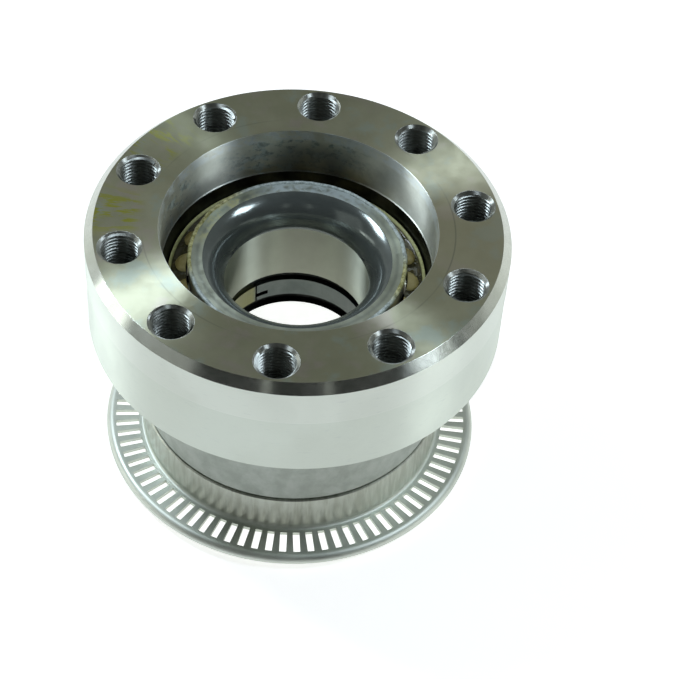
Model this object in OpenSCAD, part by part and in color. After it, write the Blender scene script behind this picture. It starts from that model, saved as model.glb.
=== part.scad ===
/* [Unit] */
// Height from the inboard ring's face to the flange face
unit_h = 139; // [137:0.5:150]
// Depth of the outboard ring's face below the flange face
ring_drop = 20.6; // [16:0.2:24]
// Width of the outboard inner ring
outboard_w = 56.1; // [54.5:0.1:57]

/* [Flange] */
// Diameter of the flange
flange_d = 196; // [192:0.5:206]
// Height of the flange's rim
flange_h = 55.3; // [48:0.1:62]
// Width of the chamfer round the flange face
rim_chamfer = 4.1; // [1:0.1:6]
// Chamfer under the flange's rim
under_chamfer = 0.8; // [0.4:0.1:2]
// Fillet between the flange's underside and the body
neck_fillet = 5; // [2:0.5:9]
// Chamfer on the outer ring's inboard end
end_chamfer = 1.2; // [0.6:0.1:1.6]
// Depth of the turned witness line on the rim
witness_depth = 0.2; // [0.1:0.05:0.5]
// Distance of the witness line from the flange face
witness_z = 22.6; // [15:0.2:35]

/* [Tapped holes] */
// Number of tapped holes
hole_count = 10; // [6:1:12]
// Diameter of the bolt circle
bolt_circle_d = 165; // [160:0.5:170]
// Major diameter of the thread
thread_d = 18; // [14:0.5:19]
// Depth of the full thread
thread_depth = 38; // [25:1:46]
// Width of the countersink round each hole
countersink = 1.35; // [0.5:0.05:2]
// Included angle of the drill's point
drill_point = 118; // [90:1:140]

/* [Recess] */
// Step between the recess wall and the edge of the raceway
recess_ledge = 0.5; // [0.3:0.1:1.5]
// Widening of the recess at the flange face
lead_in = 0.7; // [0.3:0.1:1.5]
// Height of the tapered lead-in
lead_in_h = 5.5; // [3:0.5:8]

/* [Rolling rows] */
// Distance from the bore to a roller's axis, at the large end
row_out = 19.6; // [19:0.1:20.4]
// Angle between a roller's axis and the hub's axis
row_angle = 14.2; // [12.5:0.1:15.5]
// Number of rollers in a row
roller_count = 20; // [16:1:21]
// Diameter of a roller's large end
roller_d = 13.6; // [12.6:0.1:14]
// Length of a roller
roller_len = 33; // [29:0.5:34.5]
// Chamfer on a roller's ends
roller_chamfer = 0.6; // [0.3:0.1:1]
// Clearance between a roller and each raceway
race_gap = 0.16; // [0.12:0.02:0.3]
// Clearance between a roller's ends and the ribs
end_gap = 0.2; // [0.14:0.02:0.4]
// Length of the outer raceway past the large ends
race_over = 9.5; // [8:0.1:10]
// Length of the outer raceway past the small ends
race_under = 2.5; // [1.5:0.1:3]
// Depth of the waist between the outer raceways
waist_depth = 1.2; // [0.6:0.1:2]
// Turn of the rows about the hub's axis
row_phase = 2; // [0:0.5:17]

/* [Inner rings] */
// Diameter of the bore
bore_d = 68; // [66:0.5:70]
// Thickness of the outboard ring's rib at its foot
rib_w = 10.5; // [7:0.1:12]
// Height of the rib above the raceway
rib_h = 3.7; // [2.5:0.1:4]
// Height of the small lip above the raceway
lip_h = 1.5; // [0.8:0.1:2]
// Radius that rounds the outboard mouth of the bore
mouth_round = 15.6; // [15.4:0.1:19]
// Length of the outboard mouth
mouth_h = 15.2; // [12:0.2:15.4]
// Radius that rounds the inboard mouth of the bore
inboard_round = 5; // [4.2:0.1:6]
// Length of the inboard mouth
inboard_mouth_h = 4; // [2:0.2:4.2]
// Chamfer on the rings' outer edges
edge_chamfer = 0.8; // [0.3:0.1:1.2]
// Radius of the grinding relief at the raceway's ends
relief_r = 0.8; // [0.4:0.1:1]

/* [Clip ring] */
// Depth of the relief in the bore, round the clip ring
clip_relief = 2.4; // [2.2:0.1:3]
// Half width of that relief
clip_relief_w = 10.3; // [7:0.1:13]
// Width of the clip ring
clip_w = 10.3; // [8:0.1:12]
// Thickness of the clip ring's web and hooks
clip_t = 1.4; // [1:0.1:1.6]
// Set-back of the clip ring from the bore
clip_setback = 0.4; // [0.2:0.1:0.6]
// Reach of the hooks beyond the web
clip_hook = 2; // [1.6:0.1:2.4]
// Clearance of the hooks in their grooves
clip_gap = 0.15; // [0.1:0.05:0.4]
// Angle at which the clip ring is split
clip_split_deg = 129.5; // [0:0.5:180]
// Width of the split
clip_split = 0.9; // [0.5:0.1:3]
// Length of the tool notch beside the split
clip_notch_l = 6.4; // [4:0.1:9]
// Height of the tool notch
clip_notch_h = 2.4; // [2:0.1:4]
// Distance of the notch's middle below the clip ring's middle
clip_notch_drop = 1.5; // [0:0.1:2]

/* [Cage] */
// Clearance round a roller in its pocket
pocket_gap = 0.3; // [0.2:0.05:0.45]
// Height of the rim's lip and tongues at the large ends
cage_rim = 2.8; // [2:0.1:3.2]
// Thickness of the rim under its channel
cage_floor = 1.2; // [0.8:0.1:1.6]
// Thickness of the lip round the rim
cage_lip = 1.2; // [0.8:0.1:1.6]
// Thickness of the rim at the small ends
cage_toe = 3; // [2:0.1:4]
// Distance of the cage from the outer raceway
cage_clear = 0.7; // [0.5:0.1:2]
// Reach of the bars inside the rollers' axes
cage_inside = 0.8; // [0:0.1:1.5]
// Reach of the rim inside the rollers' axes
rim_inside = 2.4; // [1:0.1:2.6]
// Radius of the rim's tongues
tongue_r = 5.5; // [4:0.1:6]
// Distance of the tongues' centres inside the rollers' axes
tongue_inside = 2.6; // [2:0.1:3.4]

/* [Seal] */
// Height of the seal's seat in the outer ring
seal_h = 7.6; // [7:0.1:9]
// Thickness of the seal's steel case and flinger
seal_gauge = 1.2; // [0.8:0.1:1.4]
// Set-back of the case from the raceway's end
seal_setback = 0.4; // [0.2:0.1:0.8]
// Gap between the case and the flinger
case_gap = 0.6; // [0.4:0.1:0.9]
// Gap between the case's web and the flinger's sleeve
web_gap = 3.5; // [3:0.1:5]
// Gap between the seal's lips and the flinger
lip_gap = 0.3; // [0.2:0.05:0.35]
// Lean of the main lip
lip_lean = 1.2; // [0.8:0.1:1.6]
// Thickness of the rubber bonded to the case
rubber_t = 1; // [0.6:0.1:1.2]
// Thickness of the rubber under the garter spring
lip_t = 0.5; // [0.3:0.1:0.7]
// Gap between the flinger's edge and the outer ring
flinger_gap = 0.8; // [0.5:0.1:2]
// Diameter of the garter spring's coil
garter_d = 1.5; // [1:0.1:1.6]
// Clearance round the garter spring
garter_slack = 0.03; // [0.02:0.01:0.08]
// Distance of the garter spring behind the lip's tip
garter_back = 1.9; // [1.7:0.1:2.4]
// Height of the garter spring above the flinger
garter_up = 2.4; // [2.2:0.1:2.6]

/* [Tone ring] */
// Diameter of the tone ring's seat
tone_seat_d = 142.4; // [140:0.2:146]
// Thickness of the tone ring's sheet
tone_gauge = 2; // [1.5:0.1:2.4]
// Step between the seat and the body above it
body_step = 1.2; // [0.6:0.1:1.6]
// Height of the tone ring's sleeve
sleeve_h = 23.1; // [18:0.1:28]
// Gap between the sleeve and the body's shoulder
sleeve_gap = 1; // [0.4:0.1:1.2]
// Height of the slotted flange's underside above the outer ring's end
tone_rise = 2; // [1:0.1:4]
// Diameter of the tone ring
tone_d = 183.8; // [180:0.2:188]
// Inner radius of the bends in the sheet
tone_bend = 1.5; // [0.8:0.1:1.8]
// Straight length of the edge below its bend
tone_lip = 0.3; // [0.2:0.1:0.6]
// Chamfer on the sleeve's free edge
tone_chamfer = 0.6; // [0.2:0.1:0.8]
// Number of slots
slot_count = 80; // [60:1:90]
// Width of a slot
slot_w = 3.3; // [2.6:0.1:3.8]
// Radius of the slots' inner ends
slot_in_r = 76; // [75.9:0.1:78]
// Length of a slot
slot_len = 11.3; // [8:0.1:11.5]

/* [Hidden] */
$fn = 144;
CUT = 1;

bore_r = bore_d / 2;
flange_r = flange_d / 2;

// A rolling row is laid out from its apex on the hub's axis. A place in it is s, the distance from the
// apex along the roller's axis, and n, the distance outwards from that axis. Heights in a row are
// measured from the plane where the two inner rings meet.
row_r = bore_r + row_out;
row_reach = row_r / sin(row_angle);
row_toe = row_reach - roller_len;
roller_taper = atan(roller_d / 2 / row_reach);
function roller_r(s) = s * tan(roller_taper);
function race_n(s) = roller_r(s) + race_gap;

rib_foot = outboard_w - rib_w;
apex = rib_foot - end_gap - row_reach * cos(row_angle) - roller_d / 2 * sin(row_angle);
function at(s, n) = [
  s * sin(row_angle) + n * cos(row_angle),
  apex + s * cos(row_angle) - n * sin(row_angle)
];
function n_for(s, r) = (r - s * sin(row_angle)) / cos(row_angle);

s_rib = row_reach + end_gap;
s_lip = row_toe - 2 * end_gap;
rib_r = at(s_rib, -race_n(s_rib))[0] + rib_h;
lip_r = at(s_lip, -race_n(s_lip))[0] + lip_h;

ring_face_z = unit_h - ring_drop;
joint_z = ring_face_z - outboard_w;

race_mouth = at(row_reach + race_over, race_n(row_reach + race_over));
race_toe = at(row_toe - race_under, race_n(row_toe - race_under));
waist_r = race_toe[0] + waist_depth;
recess_r = race_mouth[0] + recess_ledge;
recess_z = joint_z + race_mouth[1] + recess_ledge;

seal_top_z = joint_z - race_mouth[1];
end_z = seal_top_z - seal_h;

tone_seat_r = tone_seat_d / 2;
tone_r = tone_d / 2;
tone_low_z = end_z + tone_rise;
tone_top_z = tone_low_z + tone_gauge;
sleeve_top_z = tone_low_z + sleeve_h;
shoulder_z = sleeve_top_z + sleeve_gap;
body_r = tone_seat_r + body_step;
flange_low_z = unit_h - flange_h;

clip_in_r = bore_r + clip_setback;
clip_web_r = clip_in_r + clip_t;
clip_hook_r = clip_web_r + clip_hook;
relief_wall_r = bore_r + clip_relief;

flinger_r = rib_r + seal_gauge;
flinger_high = end_z + seal_gauge;
case_in_r = recess_r - seal_gauge;
case_low = flinger_high + case_gap;
case_high = seal_top_z - seal_setback;
web_low = case_high - seal_gauge;
lip_tip_r = flinger_r + lip_gap;
garter_at = [lip_tip_r + garter_back, flinger_high + garter_up];

ROWS = ["outboard", "inboard"];
function two_digits(i) = i < 10 ? str("0", i) : str(i);
function roller_name(row, i) = str("roller_", row, "_", two_digits(i));

// Puts a row's piece in its place: the inboard row mirrors the outboard one at the rings' joint.
module in_row(row) {
  translate([0, 0, joint_z]) {
    if (row == "inboard") mirror([0, 0, 1]) children();
    else children();
  }
}

// What is left outside a bend of radius r, centred on the origin, in the first quadrant.
module outside_bend(r) {
  difference() {
    square(r + CUT);
    circle(r);
  }
}

// Outer ring: the flange, the body and the two outer raceways, turned from one forging.
module outer_ring_section() {
  top = unit_h;
  neck = [body_r + neck_fillet, flange_low_z - neck_fillet];
  difference() {
    polygon([
      [flange_r - rim_chamfer, top],
      [flange_r, top - rim_chamfer],
      [flange_r, top - witness_z],
      [flange_r - witness_depth, top - witness_z - witness_depth],
      [flange_r - witness_depth, flange_low_z + under_chamfer],
      [flange_r - witness_depth - under_chamfer, flange_low_z],
      [neck[0], flange_low_z],
      neck,
      [body_r, neck[1]],
      [body_r, shoulder_z],
      [tone_seat_r, shoulder_z],
      [tone_seat_r, end_z + end_chamfer],
      [tone_seat_r - end_chamfer, end_z],
      [recess_r + recess_ledge, end_z],
      [recess_r, end_z + recess_ledge],
      [recess_r, seal_top_z],
      [race_mouth[0], seal_top_z],
      [race_toe[0], joint_z - race_toe[1]],
      [waist_r, joint_z - race_toe[1] + waist_depth],
      [waist_r, joint_z + race_toe[1] - waist_depth],
      [race_toe[0], joint_z + race_toe[1]],
      [race_mouth[0], joint_z + race_mouth[1]],
      [recess_r, recess_z],
      [recess_r, top - lead_in_h],
      [recess_r + lead_in, top]
    ]);
    translate(neck) circle(neck_fillet);
  }
}

module tapped_hole() {
  r = thread_d / 2;
  rotate_extrude()
    polygon([
      [0, CUT],
      [r + countersink + CUT, CUT],
      [r, -countersink],
      [r, -thread_depth],
      [0, -thread_depth - r / tan(drill_point / 2)]
    ]);
}

module hub_outer_ring() {
  color("lightslategray")
    difference() {
      rotate_extrude() outer_ring_section();
      for (i = [0 : hole_count - 1])
        rotate([0, 0, 90 - i * 360 / hole_count])
          translate([bolt_circle_d / 2, 0, unit_h]) tapped_hole();
    }
}

// An inner ring's section, from the rings' joint outwards: the raceway between its ribs, the rounded
// mouth, the relief in the bore and the groove for the clip ring's hook.
module inner_ring_section(width, rounding, mouth_len) {
  foot = at(s_rib, -race_n(s_rib));
  toe = at(s_lip, -race_n(s_lip));
  hook_low = clip_w / 2 - clip_t - clip_gap;
  hook_high = clip_w / 2 + clip_gap;
  groove_r = clip_hook_r + clip_gap;
  difference() {
    polygon([
      [bore_r, clip_relief_w],
      [bore_r, width],
      [rib_r - edge_chamfer, width],
      [rib_r, width - edge_chamfer],
      at(s_rib, n_for(s_rib, rib_r)),
      foot,
      toe,
      at(s_lip, n_for(s_lip, lip_r)),
      [lip_r, edge_chamfer],
      [lip_r - edge_chamfer, 0],
      [relief_wall_r, 0],
      [relief_wall_r, hook_low],
      [groove_r, hook_low],
      [groove_r, hook_high],
      [relief_wall_r, hook_high],
      [relief_wall_r, clip_relief_w]
    ]);
    translate(foot) circle(relief_r);
    translate(toe) circle(relief_r);
    translate([bore_r, width - mouth_len])
      difference() {
        translate([-CUT, 0]) square([rounding + CUT, mouth_len + CUT]);
        translate([rounding, 0]) circle(rounding);
      }
  }
}

module inner_ring_outboard() {
  color("gainsboro")
    in_row("outboard")
      rotate_extrude() inner_ring_section(outboard_w, mouth_round, mouth_h);
}

module inner_ring_inboard() {
  color("gainsboro")
    in_row("inboard")
      rotate_extrude() inner_ring_section(joint_z, inboard_round, inboard_mouth_h);
}

// Clip ring: a split channel of spring steel that hooks the two inner rings together.
module clip_ring() {
  color("dimgray")
    translate([0, 0, joint_z])
      difference() {
        rotate_extrude()
          difference() {
            translate([clip_in_r, -clip_w / 2]) square([clip_hook_r - clip_in_r, clip_w]);
            translate([clip_web_r, clip_t - clip_w / 2])
              square([clip_hook + CUT, clip_w - 2 * clip_t]);
          }
        rotate([0, 0, clip_split_deg]) {
          translate([0, -clip_split / 2, -clip_w]) cube([clip_hook_r + CUT, clip_split, 2 * clip_w]);
          translate([0, -clip_notch_l, -clip_notch_drop - clip_notch_h / 2])
            cube([clip_hook_r + CUT, clip_notch_l, clip_notch_h]);
        }
      }
}

module roller_body(spread, ends) {
  low = row_toe - ends;
  high = row_reach + ends;
  c = roller_chamfer;
  translate([0, 0, apex])
    rotate([0, row_angle, 0])
      rotate_extrude()
        polygon([
          [0, low],
          [roller_r(low) + spread - c, low],
          [roller_r(low + c) + spread, low + c],
          [roller_r(high - c) + spread, high - c],
          [roller_r(high) + spread - c, high],
          [0, high]
        ]);
}

module roller(row, i) {
  color("silver")
    in_row(row)
      rotate([0, 0, row_phase + (i - 1) * 360 / roller_count]) roller_body(0, 0);
}

// Cage: one moulding with a toe ring, a bar between each pair of rollers and a rim. The rim has a lip
// outside, a channel, and a rounded tongue over each roller's end.
module cage(row) {
  toe_low = row_toe - pocket_gap - cage_toe;
  rim_low = row_reach + pocket_gap;
  rim_high = rim_low + cage_rim;
  channel_low = rim_low + cage_floor;
  function outside(s) = roller_r(s) - cage_clear;
  lip_in = outside(rim_high) - cage_lip;
  color("burlywood")
    in_row(row)
      difference() {
        rotate_extrude()
          polygon([
            at(toe_low, -cage_inside),
            at(toe_low, outside(toe_low)),
            at(rim_high, outside(rim_high)),
            at(rim_high, -rim_inside),
            at(rim_low, -rim_inside),
            at(rim_low, -cage_inside)
          ]);
        for (i = [0 : roller_count - 1])
          rotate([0, 0, row_phase + i * 360 / roller_count]) roller_body(pocket_gap, pocket_gap);
        difference() {
          rotate_extrude()
            polygon([
              at(channel_low, -rim_inside - CUT),
              at(channel_low, lip_in),
              at(rim_high + CUT, lip_in),
              at(rim_high + CUT, -rim_inside - CUT)
            ]);
          for (i = [0 : roller_count - 1])
            rotate([0, 0, row_phase + i * 360 / roller_count])
              translate([0, 0, apex])
                rotate([0, row_angle, 0])
                  translate([-tongue_inside, 0, row_reach])
                    cylinder(r = tongue_r, h = pocket_gap + cage_rim + 2 * CUT);
        }
      }
}

// Seal: a steel case pressed into the outer ring, rubber bonded to the case with a garter spring in its
// main lip, and a flinger pressed onto the inboard ring.
module seal_case() {
  color("slategray")
    rotate_extrude() {
      translate([case_in_r, case_low]) square([seal_gauge, case_high - case_low]);
      translate([flinger_r + web_gap, web_low])
        square([recess_r - flinger_r - web_gap, seal_gauge]);
    }
}

module seal_lip() {
  mouth_r = garter_at[0] + garter_d / 4;
  side_low = flinger_high + lip_gap;
  color("darkslategray")
    rotate_extrude()
      difference() {
        polygon([
          [lip_tip_r, garter_at[1]],
          [lip_tip_r + lip_lean, web_low],
          [case_in_r, web_low],
          [case_in_r, case_low],
          [case_in_r - 2 * rubber_t, side_low],
          [case_in_r - 2 * rubber_t, side_low + rubber_t / 2],
          [case_in_r - rubber_t, case_low + rubber_t],
          [case_in_r - rubber_t, web_low - rubber_t],
          [garter_at[0] + garter_d, web_low - rubber_t],
          [mouth_r, garter_at[1] + garter_d / 2],
          [mouth_r, garter_at[1] - garter_d / 2 - lip_t],
          [lip_tip_r + lip_lean, garter_at[1] - garter_d / 2 - lip_t]
        ]);
        translate(garter_at) circle(d = garter_d + 2 * garter_slack);
      }
}

module garter_spring() {
  color("lightgray") rotate_extrude() translate(garter_at) circle(d = garter_d);
}

module seal_flinger() {
  color("slategray")
    rotate_extrude() {
      translate([rib_r, end_z]) square([seal_gauge, case_high - case_gap - end_z]);
      translate([rib_r, end_z]) square([recess_r - flinger_gap - rib_r, seal_gauge]);
    }
}

// Tone ring: a sleeve pressed onto the body and a slotted flange, drawn from one sheet. Its edge is
// rolled down.
module tone_ring_section() {
  outer = tone_bend + tone_gauge;
  sleeve_r = tone_seat_r + tone_gauge;
  foot = [tone_seat_r + outer, tone_low_z + outer];
  edge = [tone_r - outer, tone_top_z - outer];
  difference() {
    polygon([
      [tone_seat_r, tone_low_z],
      [tone_seat_r, sleeve_top_z],
      [sleeve_r - tone_chamfer, sleeve_top_z],
      [sleeve_r, sleeve_top_z - tone_chamfer],
      [sleeve_r, foot[1]],
      foot,
      [foot[0], tone_top_z],
      [tone_r, tone_top_z],
      [tone_r, edge[1] - tone_lip],
      [tone_r - tone_gauge, edge[1] - tone_lip],
      [tone_r - tone_gauge, edge[1]],
      edge,
      [edge[0], tone_low_z]
    ]);
    translate(foot) circle(tone_bend);
    translate(foot) rotate(180) outside_bend(outer);
    translate(edge) circle(tone_bend);
    translate(edge) outside_bend(outer);
  }
}

module tone_ring() {
  color("cadetblue")
    difference() {
      rotate_extrude() tone_ring_section();
      for (i = [0 : slot_count - 1])
        rotate([0, 0, i * 360 / slot_count])
          translate([slot_in_r, -slot_w / 2, tone_low_z - CUT])
            cube([slot_len, slot_w, tone_gauge + 2 * CUT]);
    }
}

hub_outer_ring();
inner_ring_outboard();
inner_ring_inboard();
clip_ring();
cage("outboard");  // cage_outboard
cage("inboard");  // cage_inboard
seal_case();
seal_lip();
garter_spring();
seal_flinger();
tone_ring();
for (row = ROWS, i = [1 : roller_count])
  roller(row, i);
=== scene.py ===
# The hub unit, dressed for its picture: pieces, finishes, floor, light and camera.

from math import asin, atan, atan2, ceil, cos, degrees, pi, radians, sin, sqrt, tan

import bmesh
import bpy
from mathutils import Matrix, Vector


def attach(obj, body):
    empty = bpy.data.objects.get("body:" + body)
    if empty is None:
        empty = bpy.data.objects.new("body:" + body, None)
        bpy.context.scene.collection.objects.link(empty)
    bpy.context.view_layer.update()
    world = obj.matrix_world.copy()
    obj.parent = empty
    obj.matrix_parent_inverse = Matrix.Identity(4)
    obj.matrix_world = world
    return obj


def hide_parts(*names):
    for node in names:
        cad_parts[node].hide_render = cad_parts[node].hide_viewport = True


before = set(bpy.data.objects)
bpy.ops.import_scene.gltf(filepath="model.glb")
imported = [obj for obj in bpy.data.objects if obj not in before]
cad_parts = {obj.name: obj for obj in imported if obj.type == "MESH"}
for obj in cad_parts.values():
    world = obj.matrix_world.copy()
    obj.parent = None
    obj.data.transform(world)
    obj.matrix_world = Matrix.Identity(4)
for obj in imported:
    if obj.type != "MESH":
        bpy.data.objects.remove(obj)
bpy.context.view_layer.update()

# Sizes in millimetres. They are those of the part's source, except for mouth_round, which is 15.6 there, and
# the thread's pitch and height, which only the ridges here have.
MM, TO_MM = 0.001, 1000
unit_h, ring_face_z, joint_z = 139.0, 118.4, 62.3
flange_r, rim_chamfer, flange_low = 98.0, 4.1, 83.7
witness_z, witness_depth, under_chamfer = 22.6, 0.2, 0.8
body_r, neck_fillet, seat_r, end_chamfer = 72.4, 5.0, 71.2, 1.2
hole_count, bolt_circle_r, thread_r, thread_depth, countersink = 10, 82.5, 9.0, 38.0, 1.35
thread_pitch, thread_height, drill_point = 2.0, 1.08, radians(118)
bore_r, row_out, row_angle = 34.0, 19.6, radians(14.2)
roller_count, roller_big_r, roller_len = 20, 6.8, 33.0
race_gap, end_gap, race_over, race_under, waist_depth = 0.16, 0.2, 9.5, 2.5, 1.2
recess_ledge, lead_in, lead_in_h = 0.5, 0.7, 5.5
rib_w, rib_h, lip_h, edge_chamfer = 10.5, 3.7, 1.5, 0.8
mouth_round, mouth_h, inboard_round, inboard_h = 16.5, 15.2, 5.0, 4.0
clip_relief, clip_relief_w, clip_w, clip_t = 2.4, 10.3, 10.3, 1.4
clip_setback, clip_hook, clip_gap = 0.4, 2.0, 0.15
pocket_gap, cage_floor = 0.3, 1.2
seal_h, tone_rise, tone_gauge, tone_r, tone_bend, tone_lip, tone_chamfer = 7.6, 2.0, 2.0, 91.9, 1.5, 0.3, 0.6
sleeve_h, sleeve_gap, slot_count, slot_w, slot_in_r, slot_len = 23.1, 1.0, 80, 3.3, 76.0, 11.3

# Steps round the outer ring, an inner ring, a hole and a turn of thread, and degrees for each step round
# an eased corner and an arc of a section.
RING_STEPS, INNER_STEPS, HOLE_STEPS, THREAD_STEPS = 480, 288, 96, 48
EASE_STEP, ARC_STEP = 22, 4
# A corner that turns by less than this, in radians, isn't eased.
STRAIGHT = 1e-4
# Two points of a section, in millimetres, or two vertices, in metres, that are this close are one.
SAME, WELD = 1e-3, 2e-6
# Most of a noise's values lie between these.
MID = (0.3, 0.7)

# The photograph's camera, fitted to it: how far it looks down, its roll, and its turn round the unit. It sees
# the middle of the flange face so far to the right, down and away, in millimetres. The focal length is in
# pixels of a frame this wide.
camera_down, camera_roll, camera_turn = radians(48.159), radians(4.0996), radians(2.97)
camera_sees, focal_px, frame_px, sensor_mm = (-18.7216, -51.8748, 957.3859), 2095.906, 680, 36

# A rolling row's places: s along a roller's axis from the row's apex, n outwards from that axis.
row_reach = (bore_r + row_out) / sin(row_angle)
row_toe = row_reach - roller_len
taper = atan(roller_big_r / row_reach)
apex = ring_face_z - joint_z - rib_w - end_gap - row_reach * cos(row_angle) - roller_big_r * sin(row_angle)


def race_n(s):
    """How far out from a roller's axis the raceway lies."""
    return s * tan(taper) + race_gap


def at(s, n):
    """The radius, and the height above the rings' joint, of a place in a rolling row."""
    return (s * sin(row_angle) + n * cos(row_angle), apex + s * cos(row_angle) - n * sin(row_angle))


def n_for(s, r):
    """The n at which a place with a given s has radius r."""
    return (r - s * sin(row_angle)) / cos(row_angle)


race_mouth = at(row_reach + race_over, race_n(row_reach + race_over))
race_toe = at(row_toe - race_under, race_n(row_toe - race_under))
recess_r = race_mouth[0] + recess_ledge
recess_z = joint_z + race_mouth[1] + recess_ledge
waist_r = race_toe[0] + waist_depth
seal_top = joint_z - race_mouth[1]
end_z = seal_top - seal_h
tone_low = end_z + tone_rise
tone_top = tone_low + tone_gauge
sleeve_top = tone_low + sleeve_h
shoulder_z = sleeve_top + sleeve_gap


class Term:
    """A socket that takes part in sums, so that a finish is written as plain expressions."""

    def __init__(self, nodes, socket):
        self.nodes, self.socket = nodes, socket

    def sum(self, operation, *values):
        return self.nodes.node("ShaderNodeMath", {"operation": operation}, list(values))

    def __add__(self, other):
        return self.sum("ADD", self, other)

    def __radd__(self, other):
        return self.sum("ADD", other, self)

    def __sub__(self, other):
        return self.sum("SUBTRACT", self, other)

    def __rsub__(self, other):
        return self.sum("SUBTRACT", other, self)

    def __mul__(self, other):
        return self.sum("MULTIPLY", self, other)

    def __truediv__(self, other):
        return self.sum("DIVIDE", self, other)

    def __pow__(self, other):
        return self.sum("POWER", self, other)


class Nodes:
    """A node tree whose nodes all come from one method."""

    def __init__(self, tree):
        self.tree = tree
        tree.nodes.clear()

    def node(self, kind, settings=None, inputs=None, out=0):
        """Makes a node, sets its properties and inputs, and gives one of its outputs."""
        made = self.tree.nodes.new(kind)
        for key, value in (settings or {}).items():
            setattr(made, key, value)
        items = inputs.items() if isinstance(inputs, dict) else enumerate(inputs or [])
        for key, value in items:
            if isinstance(value, Term):
                self.tree.links.new(value.socket, made.inputs[key])
            else:
                made.inputs[key].default_value = value
        return Term(self, made.outputs[out]) if made.outputs else None

    def ramp(self, value, low, high, start=0.0, end=1.0):
        """Goes smoothly from start to end as a value goes from low to high."""
        return self.node(
            "ShaderNodeMapRange",
            {"interpolation_type": "SMOOTHSTEP"},
            {"Value": value, "From Min": low, "From Max": high, "To Min": start, "To Max": end},
        )

    def noise(self, scale, detail=3.0, rough=0.55, where=None):
        """Noise from nought to one, at the place on the piece unless another is given."""
        where = where or self.place()
        return self.node(
            "ShaderNodeTexNoise",
            inputs={"Vector": where, "Scale": scale, "Detail": detail, "Roughness": rough},
        )


class Pattern(Nodes):
    """A Geometry Nodes tree with named inputs. It ends in Realize Instances and Set Material."""

    def __init__(self, name, **sizes):
        super().__init__(bpy.data.node_groups.new(name, "GeometryNodeTree"))
        self.tree.interface.new_socket("Geometry", in_out="OUTPUT", socket_type="NodeSocketGeometry")
        self.tree.interface.new_socket("Geometry", in_out="INPUT", socket_type="NodeSocketGeometry")
        kinds = {int: "NodeSocketInt", float: "NodeSocketFloat", bpy.types.Material: "NodeSocketMaterial"}
        for key, value in sizes.items():
            self.tree.interface.new_socket(key, in_out="INPUT", socket_type=kinds[type(value)])
        self.sizes = sizes
        self.given = self.tree.nodes.new("NodeGroupInput")

    def size(self, name):
        """One of the tree's own inputs."""
        return Term(self, self.given.outputs[name])

    def place(self):
        """The place of each point, in metres."""
        return self.node("GeometryNodeInputPosition")

    def round_the_axis(self, shape, count, start=0.0, way=1.0):
        """Repeats a shape at even steps round the unit's axis."""
        index = self.node("GeometryNodeInputIndex")
        angle = start + index * (2 * pi * way) / count
        turn = self.node("FunctionNodeAxisAngleToRotation", inputs={"Axis": (0, 0, 1), "Angle": angle})
        points = self.node("GeometryNodePoints", inputs={"Count": count})
        return self.node(
            "GeometryNodeInstanceOnPoints", inputs={"Points": points, "Instance": shape, "Rotation": turn}
        )

    def finish(self, shape):
        """Ends the tree: plain geometry, its seams welded, with the finish on it."""
        real = self.node("GeometryNodeRealizeInstances", inputs=[shape])
        merged = self.node("GeometryNodeMergeByDistance", inputs={"Geometry": real, "Distance": WELD})
        inputs = {"Geometry": merged, "Material": self.size("Finish")}
        self.node("NodeGroupOutput", inputs=[self.node("GeometryNodeSetMaterial", inputs=inputs)])

    def piece(self, name, mesh):
        """Runs the tree on a mesh and keeps the result as a plain piece."""
        made = bpy.data.objects.new(name, mesh)
        bpy.context.scene.collection.objects.link(made)
        modifier = made.modifiers.new("pattern", "NODES")
        modifier.node_group = self.tree
        for item in self.tree.interface.items_tree:
            if item.in_out == "INPUT" and item.name in self.sizes:
                modifier[item.identifier] = self.sizes[item.name]
        evaluated = made.evaluated_get(bpy.context.evaluated_depsgraph_get())
        plain = bpy.data.meshes.new_from_object(evaluated)
        made.modifiers.remove(modifier)
        made.data = plain
        plain.name = name
        return made


class Shading(Nodes):
    """A shader tree."""

    def parts(self, vector):
        """The x, y and z of a vector."""
        return [self.node("ShaderNodeSeparateXYZ", inputs=[vector], out=i) for i in range(3)]

    def mix(self, factor, a, b):
        """Goes from colour a to colour b as the factor goes from nought to one."""
        a, b = (c if isinstance(c, Term) else (*c, 1) for c in (a, b))
        return self.node("ShaderNodeMix", {"data_type": "RGBA"}, {0: factor, 6: a, 7: b}, out=2)


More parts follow.
